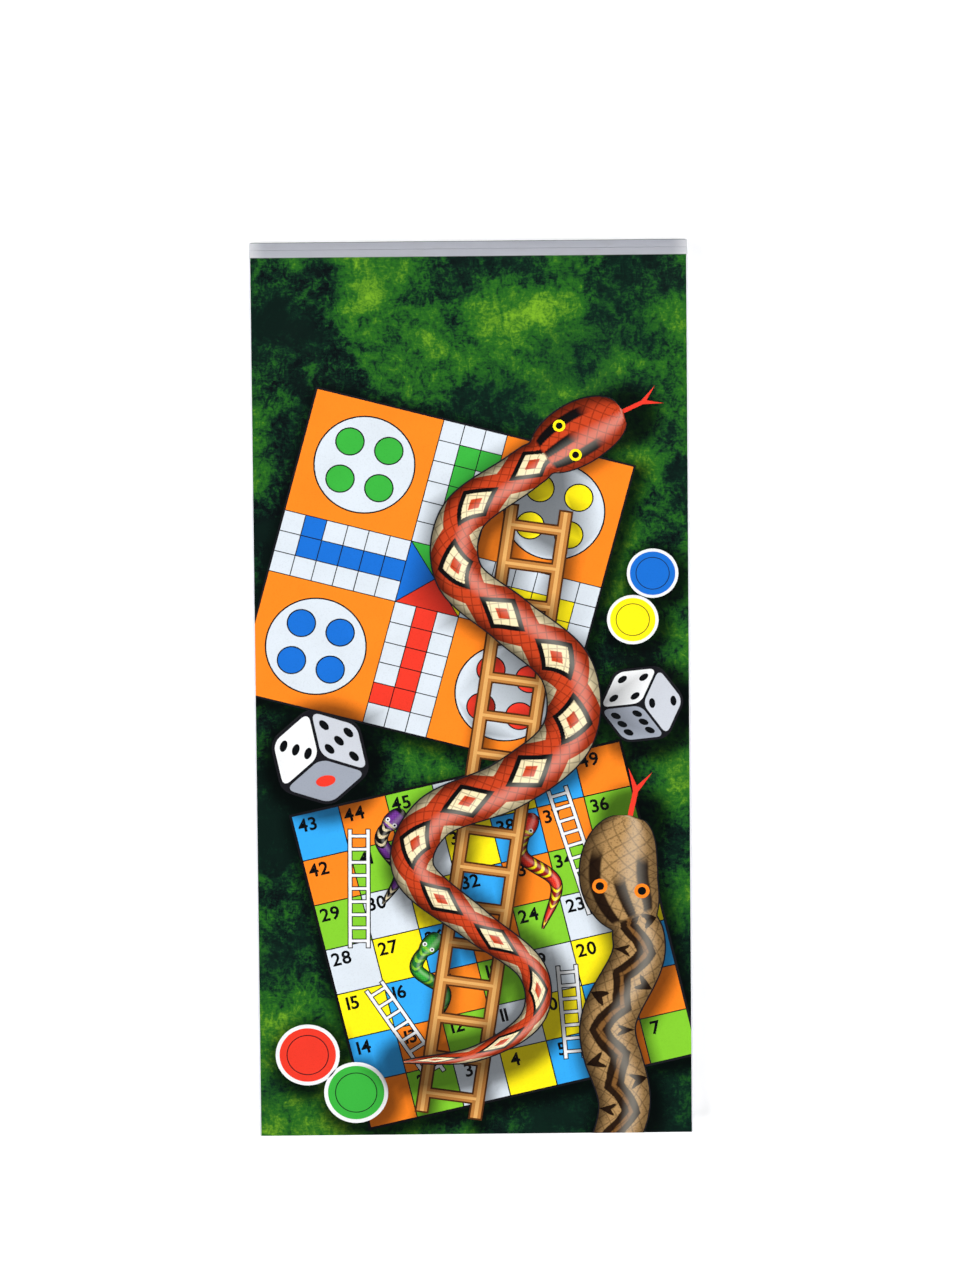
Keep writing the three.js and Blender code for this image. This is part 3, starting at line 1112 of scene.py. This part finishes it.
def link_piece(name, mesh, node=None):
    """A piece of the scene, which stands for a node of the frame where one is named."""
    piece = bpy.data.objects.new(name, mesh)
    bpy.context.scene.collection.objects.link(piece)
    if node:
        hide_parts(node)
    return piece


def trim_to_cover(mesh):
    """Cuts slabs off at the edges of the cover sheet and closes the cuts."""
    work = bmesh.new()
    work.from_mesh(mesh)
    for axis, side in ((0, 1), (0, -1), (1, 1), (1, -1)):
        normal = Vector((0, 0, 0))
        normal[axis] = side
        parts = work.verts[:] + work.edges[:] + work.faces[:]
        cut = bmesh.ops.bisect_plane(
            work, geom=parts, plane_co=normal * COVER_SIZE[axis] / 2, plane_no=normal, clear_outer=True)
        rims = [e for e in cut["geom_cut"] if isinstance(e, bmesh.types.BMEdge) and e.is_boundary]
        caps = bmesh.ops.holes_fill(work, edges=rims, sides=0)["faces"]
        for layer in work.faces.layers.float_color.values():
            for cap in caps:
                near = [f for e in cap.edges for f in e.link_faces if f is not cap]
                cap[layer] = near[0][layer] if near else NO_INK
    work.to_mesh(mesh)
    work.free()


class Cast:
    """What throws a soft shadow on the layers under it: an outline, or a path with a half width."""

    def __init__(self, layer, outline=None, path=None, reach=0.0):
        self.level = LEVELS[layer]
        self.outline = outline
        self.path = path
        self.reach = reach

    def distance(self, points):
        """Distance outside the motif, in millimetres, for each point. It is negative inside."""
        if self.path is not None:
            gaps = np.linalg.norm(points[:, None, :] - self.path[None, :, :], axis=2)
            return gaps.min(axis=1) - self.reach
        nearest = np.full(len(points), np.inf)
        inside = np.zeros(len(points), bool)
        for a, b in zip(self.outline, np.roll(self.outline, -1, axis=0)):
            run = b - a
            share = np.clip(((points - a) @ run) / (run @ run), 0, 1)
            nearest = np.minimum(nearest, np.linalg.norm(points - a - share[:, None] * run, axis=1))
            crossing = (a[1] > points[:, 1]) != (b[1] > points[:, 1])
            inside ^= crossing & (points[:, 0] < a[0] + run[0] * (points[:, 1] - a[1]) / run[1])
        return np.where(inside, -nearest, nearest)


def soft_shadow(points, casts):
    """How dark each sheet point is, from 0 in the open to 1 under a motif."""
    dark = np.zeros(len(points))
    for cast in casts:
        share = np.clip(1 - cast.distance(points - SHADOW_DROP) / SHADOW_BLUR, 0, 1)
        dark = np.maximum(dark, share * share * (3 - 2 * share))
    return dark


def cover_casts():
    """The cover's motifs that throw shadows on the print under them."""
    cross = CROSS_CELLS * size("cross_cell")
    panel = PANEL_COUNT * size("panel_cell")
    casts = [
        Cast("ludo_ground", turned(rectangle(cross, cross), *CROSS_PLACE)),
        Cast("panel_ground", turned(rectangle(panel, panel), *PANEL_PLACE)),
    ]
    for name, (kind, _, _, knots) in BIG_SNAKES.items():
        path, _ = smooth_path(knots, PATH_STEP)
        casts.append(Cast(name + "_rim", path=path, reach=kind.width * SNAKE_REACH))
    start, end = np.array(BIG_LADDER_ENDS, float)
    for rail in (-1, 1):
        off = sideways(end - start) * BIG_LADDER.width / 2 * rail
        line = np.linspace(start + off, end + off, RAIL_POINTS)
        casts.append(Cast("ladder_rim", path=line, reach=RAIL_REACH))
    for centre, edge, _, _ in DICE:
        casts.append(Cast("die_rim", path=np.array([centre], float), reach=edge * DIE_REACH))
    for centre, _, scale in COUNTERS:
        casts.append(Cast("counter_rim", path=np.array([centre], float), reach=COUNTER_RADIUS * scale))
    return casts


def on_face(middle_x, height_z, side=1):
    """A function that puts sheet millimetres on a face of the frame. side is -1 for a face folded over."""
    def place(x, y, height):
        return np.column_stack((middle_x + side * x * MM, y * MM, height_z + side * height * MM))
    return place


# The playing faces are measured from the fold, as they lie in the open board
ON_COVER = on_face(COVER_MIDDLE.x, COVER_HIGH.z)
ON_BACK = on_face(COVER_MIDDLE.x, BACK_HIGH.z)
ON_RIGHT_PLAY = on_face(FOLD.x, PLAY_HIGH.z)
ON_LEFT_PLAY = on_face(FOLD.x, 2 * FOLD.z - PLAY_HIGH.z, -1)


def eye_places(path, run, width):
    """Where a snake's two eyes lie."""
    spot = int(np.searchsorted(run, EYE_PLACE * HEAD_LENGTH * width))
    side = sideways(path[0] - path[spot]) * width * EYE_OFFSET
    return [path[spot] + side, path[spot] - side]


def tongue(path, width):
    """Outline of a forked tongue in front of a snake's nose."""
    ahead = path[0] - path[3]
    side = sideways(ahead)
    ahead = ahead / np.linalg.norm(ahead)
    return np.array([path[0] + (ahead * a + side * b) * width for a, b in TONGUE])


def square_ink(column, row):
    return SQUARE_INKS[(2 * column + 3 * row) % len(SQUARE_INKS)]


def square_number(column, row, count):
    """A square's number on a board whose rows run to and fro, for a column and a row from 0."""
    return row * count + (column if row % 2 == 0 else count - 1 - column) + 1


class BOARD_OT_grounds(bpy.types.Operator):
    """Print the mossy ground of both covers, with the shadows of the motifs on the front one"""

    bl_idname = "games_board.grounds"
    bl_label = "Cover Grounds"

    def execute(self, context):
        covers = (
            ("rear", ON_BACK, (BACK_HIGH.z - BACK_LOW.z) / MM, BACK_CUTS, ()),
            ("front", ON_COVER, (COVER_HIGH.z - COVER_LOW.z) / MM, COVER_CUTS, cover_casts()),
        )
        for leaf, place, depth, cuts, casts in covers:
            sheet = Layer(mossy_print())
            sheet.tiles((1, 1), COVER_SIZE, 0.0, cuts, (0, 0), 0, lambda column, row: None)
            sheet.piece(
                leaf + "_cover_ground", place, 0, leaf + "_leaf", "cover_print", casts, depth=depth,
                node=leaf + "_cover_sheet")
        return {"FINISHED"}


class BOARD_OT_cross_board(bpy.types.Operator):
    """Print the cross board on the front cover: its cells, its round yards and their spots"""

    bl_idname = "games_board.cross_board"
    bl_label = "Cross Board"

    def execute(self, context):
        sheet = Print()
        side = CROSS_CELLS * size("cross_cell") + CROSS_BORDER
        sheet["ludo_ground"].outline(turned(rectangle(side, side), *CROSS_PLACE), "line")
        for direction, own in ARMS.items():
            self.arm(sheet["ludo_cells"], np.array(direction), own)
        for corner, own in YARDS.items():
            self.yard(sheet, np.array(corner), own)
        return sheet.lay_on_cover()

    def arm(self, cells, ahead, own):
        """Three lanes of cells, with the home lane, the start and the home's wedge in the arm's ink."""
        cell = size("cross_cell")
        left = sideways(ahead)
        for step in range(ARM_CELLS):
            for lane, own_steps in ARM_LANES.items():
                middle = (ahead * (HOME_REACH + 0.5 + step) - left * lane) * cell
                square = rectangle(cell - CROSS_LINE, cell - CROSS_LINE, middle)
                cells.outline(turned(square, *CROSS_PLACE), own if step in own_steps else "pale")
        reach = HOME_REACH * cell - CROSS_LINE / 2
        tip = CROSS_LINE / math.sqrt(2)
        wedge = [ahead * tip, ahead * reach - left * (reach - tip), ahead * reach + left * (reach - tip)]
        cells.outline(turned(wedge, *CROSS_PLACE), own)

    def yard(self, sheet, corner, own):
        """A corner square with a ringed yard and four spots."""
        cell = size("cross_cell")
        middle = corner * YARD_MIDDLE * cell
        centre = turned([middle], *CROSS_PLACE)[0]
        sheet["ludo_cells"].tiles(
            (1, 1), (YARD_SIZE * cell, YARD_SIZE * cell), CROSS_LINE, YARD_CUTS, centre, CROSS_PLACE[1],
            lambda column, row: "orange")
        for name, (radius, tint) in YARD_RINGS.items():
            sheet[name].outline(turned(circle(radius * cell, middle, YARD_SIDES), *CROSS_PLACE), tint)
        for quarter in YARDS:
            spot = middle + np.array(quarter) * cell * SPOT_STEP
            for name, (radius, tint) in SPOT_RINGS.items():
                ring = circle(radius * cell, spot, SPOT_SIDES)
                sheet[name].outline(turned(ring, *CROSS_PLACE), tint or own)


class BOARD_OT_numbered_board(bpy.types.Operator):
    """Print the numbered board with its small ladders and snakes on the front cover"""

    bl_idname = "games_board.numbered_board"
    bl_label = "Numbered Board"

    def execute(self, context):
        sheet = Print()
        cell = size("panel_cell")
        side = PANEL_COUNT * cell + PANEL_BORDER
        sheet["panel_ground"].outline(turned(rectangle(side, side), *PANEL_PLACE), "line")
        counts = (PANEL_COUNT, PANEL_COUNT)
        sheet["panel_squares"].tiles(counts, (cell, cell), size("line"), PANEL_CUTS, *PANEL_PLACE, square_ink)
        for row in range(PANEL_COUNT):
            for column in range(PANEL_COUNT):
                place = self.spot(column + PANEL_NUMBER_PLACE[0], row + PANEL_NUMBER_PLACE[1])
                number = square_number(column, row, PANEL_COUNT)
                sheet["panel_numbers"].number(number, place, PANEL_TYPE, PANEL_PLACE[1])
        layers = ("panel_ladder_rims", "panel_ladders")
        for foot, top in PANEL_LADDERS:
            sheet.ladder(layers, SMALL_LADDER, self.spot(*foot), self.spot(*top))
        layers = ("panel_snake_rims", "panel_snakes", "panel_eyes", "panel_pupils")
        for knots, skin in PANEL_SNAKES:
            sheet.snake(layers, SMALL_SNAKE, [self.spot(*knot) for knot in knots], skin)
        return sheet.lay_on_cover()

    def spot(self, column, row):
        """Middle of a square, as a sheet point."""
        middle = (PANEL_COUNT - 1) / 2
        flat = np.array([(column - middle, row - middle)]) * size("panel_cell")
        return turned(flat, *PANEL_PLACE)[0]


class BOARD_OT_ladder(bpy.types.Operator):
    """Print the large wooden ladder on the front cover"""

    bl_idname = "games_board.ladder"
    bl_label = "Ladder"

    def execute(self, context):
        sheet = Print()
        sheet.ladder(("ladder_rim", "ladder", "ladder_light"), BIG_LADDER, *BIG_LADDER_ENDS)
        return sheet.lay_on_cover()


class BOARD_OT_counters(bpy.types.Operator):
    """Print plain round counters with white rims on the front cover"""

    bl_idname = "games_board.counters"
    bl_label = "Counters"

    def execute(self, context):
        sheet = Print()
        for centre, own, scale in COUNTERS:
            for name, (share, sides, tint) in COUNTER_RINGS.items():
                sheet[name].outline(circle(COUNTER_RADIUS * scale * share, centre, sides), tint or own)
        return sheet.lay_on_cover()


class BOARD_OT_dice(bpy.types.Operator):
    """Print dice drawn from one corner on the front cover: three rounded faces with pips on a dark outline"""

    bl_idname = "games_board.dice"
    bl_label = "Dice"

    def execute(self, context):
        sheet = Print()
        for centre, edge, spin, shown in DICE:
            sheet["die_rim"].outline(turned(rounded_hexagon(edge * DIE_OUTLINE), centre, spin), "line")
            axes = [turned([(edge * DIE_EDGE, 0)], (0, 0), spin + angle)[0] for angle in DIE_EDGE_ANGLES]
            for ((a, b), tint), value in zip(DIE_FACES, shown):
                face = np.array((axes[a], axes[b]))
                square = rounded_square(DIE_FACE, DIE_CORNER) + 0.5
                sheet["die"].outline(anticlockwise(square @ face + centre), tint)
                radius, sides, pip_ink = LONE_PIP if value == 1 else PIP
                for x, y in PIPS[value]:
                    pip = circle(radius, (0.5 + x * PIP_STEP, 0.5 + y * PIP_STEP), sides)
                    sheet["die_pips"].outline(anticlockwise(pip @ face + centre), pip_ink)
        return sheet.lay_on_cover()


class BOARD_OT_snakes(bpy.types.Operator):
    """Print the two large snakes on the front cover"""

    bl_idname = "games_board.snakes"
    bl_label = "Snakes"

    def execute(self, context):
        sheet = Print()
        for name, (kind, skin, eye_ink, knots) in BIG_SNAKES.items():
            sheet.snake((name + "_rim", name, name + "_eyes", name + "_pupils"), kind, knots, skin, eye_ink)
        return sheet.lay_on_cover()


class BOARD_OT_play(bpy.types.Operator):
    """Print the playing face of both leaves: a hundred numbered squares with ladders and snakes"""

    bl_idname = "games_board.play"
    bl_label = "Playing Face Print"

    def execute(self, context):
        for leaf, side, place in (("rear", 1, ON_RIGHT_PLAY), ("front", -1, ON_LEFT_PLAY)):
            body = leaf + "_leaf"
            ground = Layer(ink_print())
            middle = (side * (PLAY_START + PLAY_END) / 2, 0)
            ground.tiles((1, 1), (PLAY_END - PLAY_START, PLAY_LENGTH), 0.0, PLAY_CUTS, middle, 0,
                         lambda column, row: "green")
            depth = (PLAY_HIGH.z - PLAY_LOW.z) / MM
            ground.piece(
                leaf + "_play_ground", place, 0, body, "play_print", depth=depth, node=leaf + "_play_sheet")
            for name, layer in self.half(side).items():
                layer.piece(f"{leaf}_play_{name}", place, PLAY_LEVELS[name], body, "play_print")
        return {"FINISHED"}

    def cell(self):
        """Width and height of a square."""
        wide = (PLAY_END - PLAY_START - size("gutter_margin") - size("play_margin")) / (PLAY_COUNT / 2)
        return wide, (PLAY_LENGTH - 2 * size("play_margin")) / PLAY_COUNT

    def spot(self, column, row):
        """Middle of a square of the open board, in millimetres from the fold and from its middle."""
        wide, high = self.cell()
        middle = (PLAY_COUNT + 1) / 2
        gutter = PLAY_START + size("gutter_margin")
        across = (column - middle) * wide + (gutter if column > middle else -gutter)
        return np.array((across, (row - middle) * high))

    def half(self, side):
        """The layers of one leaf, on the right of the fold or on its left."""
        sheet = Print()
        wide, high = self.cell()
        half = PLAY_COUNT // 2
        first = half + 1 if side > 0 else 1
        centre = (side * (PLAY_START + size("gutter_margin") + half / 2 * wide), 0)
        sheet["field"].outline(
            rectangle(half * wide + PLAY_BORDER, PLAY_COUNT * high + PLAY_BORDER, centre), "line")
        sheet["squares"].tiles(
            (half, PLAY_COUNT), (wide, high), size("line"), SQUARE_CUTS, centre, 0,
            lambda column, row: square_ink(column + first, row))
        for row in range(1, PLAY_COUNT + 1):
            for column in range(first, first + half):
                place = self.spot(column, row) + np.array(PLAY_NUMBER_PLACE) * (wide, high)
                number = square_number(column - 1, row - 1, PLAY_COUNT)
                sheet["numbers"].number(number, place, size("number"), 0)
        for foot, top in PLAY_LADDERS:
            if (foot[0] > half) == (side > 0):
                layers = ("ladder_rims", "ladders", "ladder_lights")
                sheet.ladder(layers, PLAY_LADDER, self.spot(*foot), self.spot(*top))
        for head, tail, skin in PLAY_SNAKES:
            if (head[0] > half) == (side > 0):
                knots = self.winding(self.spot(*head), self.spot(*tail))
                sheet.snake(("snake_rims", "snakes", "eyes", "pupils"), PLAY_SNAKE, knots, skin)
        return sheet

    def winding(self, start, end):
        """Knots of a path that sways to and fro, and starts straight."""
        run = end - start
        waves = max(LEAST_WAVES, round(np.linalg.norm(run) / SNAKE_WAVE) / 2)
        knots = []
        for share in np.linspace(0, 1, SNAKE_KNOTS):
            sway = math.sin(share * waves * 2 * math.pi) * SNAKE_SWAY * min(1, share / STRAIGHT_SHARE)
            knots.append(start + run * share + sideways(run) * sway)
        return knots


def dress(node, material):
    """Gives a node of the frame a finish."""
    node.data.materials.clear()
    node.data.materials.append(material)


class BOARD_OT_edges(bpy.types.Operator):
    """Finish the white edge strips of both leaves"""

    bl_idname = "games_board.edges"
    bl_label = "Edge Strips"

    def execute(self, context):
        for name, node in frame["nodes"].items():
            if name.endswith("_band"):
                dress(node, strip_plastic())
        return {"FINISHED"}


class BOARD_OT_cores(bpy.types.Operator):
    """Finish the fibreboard cores"""

    bl_idname = "games_board.cores"
    bl_label = "Cores"

    def execute(self, context):
        for name in ("front_core", "rear_core"):
            dress(frame["nodes"][name], fibreboard())
        return {"FINISHED"}


class BOARD_OT_hinge(bpy.types.Operator):
    """Make the woven hinge cloth, wrapped round the spine of the closed board"""

    bl_idname = "games_board.hinge"
    bl_label = "Hinge Cloth"

    def execute(self, context):
        outer = (CLOTH_HIGH.z - CLOTH_LOW.z) / 2
        bend = CLOTH_LOW.x + outer
        middle = outer - CLOTH_THICKNESS / 2
        flap = CLOTH_HIGH.x - bend
        half_arc = math.pi * middle / 2
        runs = np.concatenate((
            np.linspace(-flap - half_arc, -half_arc, FLAP_POINTS)[:-1],
            np.linspace(-half_arc, half_arc, FOLD_POINTS),
            np.linspace(half_arc, half_arc + flap, FLAP_POINTS)[1:]))
        points, places = [], []
        for y in np.linspace(CLOTH_LOW.y, CLOTH_HIGH.y, CLOTH_LINES):
            for face in (1, -1):
                for run in runs:
                    radius = middle + face * CLOTH_THICKNESS / 2
                    turn = np.clip(run, -half_arc, half_arc) / middle
                    x = bend - radius * math.cos(turn) + max(0.0, abs(run) - half_arc)
                    points.append((x, y, FOLD.z + radius * math.sin(turn)))
                    places.append((y, run))
        mesh = bpy.data.meshes.new("hinge_cloth_woven")
        mesh.from_pydata(points, [], self.faces(len(runs)))
        work = bmesh.new()
        work.from_mesh(mesh)
        bmesh.ops.recalc_face_normals(work, faces=work.faces)
        work.to_mesh(mesh)
        work.free()
        weave = mesh.uv_layers.new(name="weave")
        for loop in mesh.loops:
            weave.data[loop.index].uv = places[loop.vertex_index]
        mesh.materials.append(book_cloth())
        mesh.shade_smooth()
        piece = link_piece("hinge_cloth_woven", mesh, "hinge_cloth")
        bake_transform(piece)
        return {"FINISHED"}

    def faces(self, count):
        """Faces round the cloth from line to line and over its ends. A line has count points on each side."""
        faces = []
        ring = [*range(count), *range(2 * count - 1, count - 1, -1)]
        for line in range(CLOTH_LINES - 1):
            base, above = 2 * count * line, 2 * count * (line + 1)
            for a, b in zip(ring, ring[1:] + ring[:1]):
                faces.append((base + a, base + b, above + b, above + a))
        for start in (0, 2 * count * (CLOTH_LINES - 1)):
            for k in range(start, start + count - 1):
                faces.append((k, count + k, count + k + 1, k + 1))
        return faces


class BOARD_OT_stage(bpy.types.Operator):
    """Set the pale floor, the soft studio light and the camera at the photograph's view"""

    bl_idname = "games_board.stage"
    bl_label = "Stage"

    def execute(self, context):
        self.floor(context.scene)
        self.world(context.scene)
        for name, (place, power, across) in LIGHTS.items():
            lamp = bpy.data.lights.new(name, "AREA")
            lamp.energy = power
            lamp.shape = "DISK"
            lamp.size = across
            carrier = bpy.data.objects.new(name, lamp)
            carrier.location = place
            carrier.rotation_euler = (-Vector(place)).to_track_quat("-Z", "Y").to_euler()
            context.scene.collection.objects.link(carrier)
        self.camera(context.scene, context.scene.board_stage)
        context.scene.view_settings.view_transform = "Standard"
        return {"FINISHED"}

    def floor(self, scene):
        finish = Finish("pale_floor")
        patch = finish.noise(6, 4)
        material = finish.shaded({
            "Base Color": finish.mix(patch * 0.05, tone("floor"), tone("floor_patch")),
            "Roughness": 0.7 + patch * 0.1,
            "Emission Color": tone("floor_glow"),
            "Emission Strength": 0.15,
        })
        mesh = bpy.data.meshes.new("studio_floor")
        rim = [(x, y, CAD_BOX[0].z - FLOOR_GAP) for x, y in circle(FLOOR_RADIUS, (0, 0), FLOOR_SIDES)]
        mesh.from_pydata(rim, [], [tuple(range(len(rim)))])
        mesh.materials.append(material)
        floor = bpy.data.objects.new("studio_floor", mesh)
        scene.collection.objects.link(floor)

    def world(self, scene):
        """Bright towards the horizon, but dim overhead and at the head, which lies in shade in the photo."""
        scene.world = bpy.data.worlds.new("studio")
        scene.world.use_nodes = True
        graph = Graph(scene.world.node_tree)
        graph.tree.nodes.clear()
        height = graph.axis("Z", graph.node("ShaderNodeTexCoord", output="Generated"))
        level = height.ramp(0.85, 0.0) * (1 - height.other("Y").ramp(-0.1, 0.7) * 0.85)
        sky = graph.mix(level, tone("overhead"), tone("horizon"))
        light = graph.node("ShaderNodeBackground", None, {"Color": sky, "Strength": 0.45})
        graph.node("ShaderNodeOutputWorld", None, {"Surface": light})

    def camera(self, scene, stage):
        data = bpy.data.cameras.new("photo_camera")
        data.lens = stage.lens
        data.sensor_width = SENSOR
        data.clip_end = CLIP_END
        view = bpy.data.objects.new("photo_camera", data)
        spin = Matrix.Rotation(-stage.tilt, 4, "X") @ Matrix.Rotation(-stage.roll, 4, "Z")
        right, up, back = (spin.to_3x3().col[k] for k in range(3))
        away = stage.lens / SENSOR * PHOTO_SIZE[1] / PIXELS_PER_MM * MM
        middle = Vector((COVER_MIDDLE.x, COVER_MIDDLE.y, COVER_HIGH.z))
        left = (PHOTO_SIZE[0] / 2 - COVER_PIXEL[0]) / PIXELS_PER_MM * MM
        down = (COVER_PIXEL[1] - PHOTO_SIZE[1] / 2) / PIXELS_PER_MM * MM
        view.matrix_world = Matrix.Translation(middle + right * left + up * down + back * away) @ spin
        scene.collection.objects.link(view)
        scene.camera = view


class BOARD_PT_panel(bpy.types.Panel):
    """The board's operators and settings"""

    bl_idname = "BOARD_PT_panel"
    bl_label = "Games Board"
    bl_space_type = "VIEW_3D"
    bl_region_type = "UI"
    bl_category = "Games Board"

    def draw(self, context):
        for step in STEPS:
            self.layout.operator(step.bl_idname)
        for group in GROUPS:
            box = self.layout.box()
            settings = getattr(context.scene, group)
            for name in settings.__annotations__:
                box.prop(settings, name)


GROUPS = {"board_sizes": BoardSizes, "board_colours": BoardColours, "board_stage": StageSettings}
STEPS = (
    BOARD_OT_stage, BOARD_OT_edges, BOARD_OT_cores, BOARD_OT_grounds, BOARD_OT_cross_board,
    BOARD_OT_numbered_board, BOARD_OT_ladder, BOARD_OT_counters, BOARD_OT_dice, BOARD_OT_snakes,
    BOARD_OT_play, BOARD_OT_hinge)


def register():
    for part in (*GROUPS.values(), *STEPS, BOARD_PT_panel):
        bpy.utils.register_class(part)
    for name, group in GROUPS.items():
        setattr(bpy.types.Scene, name, bpy.props.PointerProperty(type=group))


def unregister():
    for name in GROUPS:
        delattr(bpy.types.Scene, name)
    for part in reversed((*GROUPS.values(), *STEPS, BOARD_PT_panel)):
        bpy.utils.unregister_class(part)


def main():
    register()
    for step in STEPS:
        group, name = step.bl_idname.split(".")
        getattr(getattr(bpy.ops, group), name)()
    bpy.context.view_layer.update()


if __name__ == "__main__":
    main()
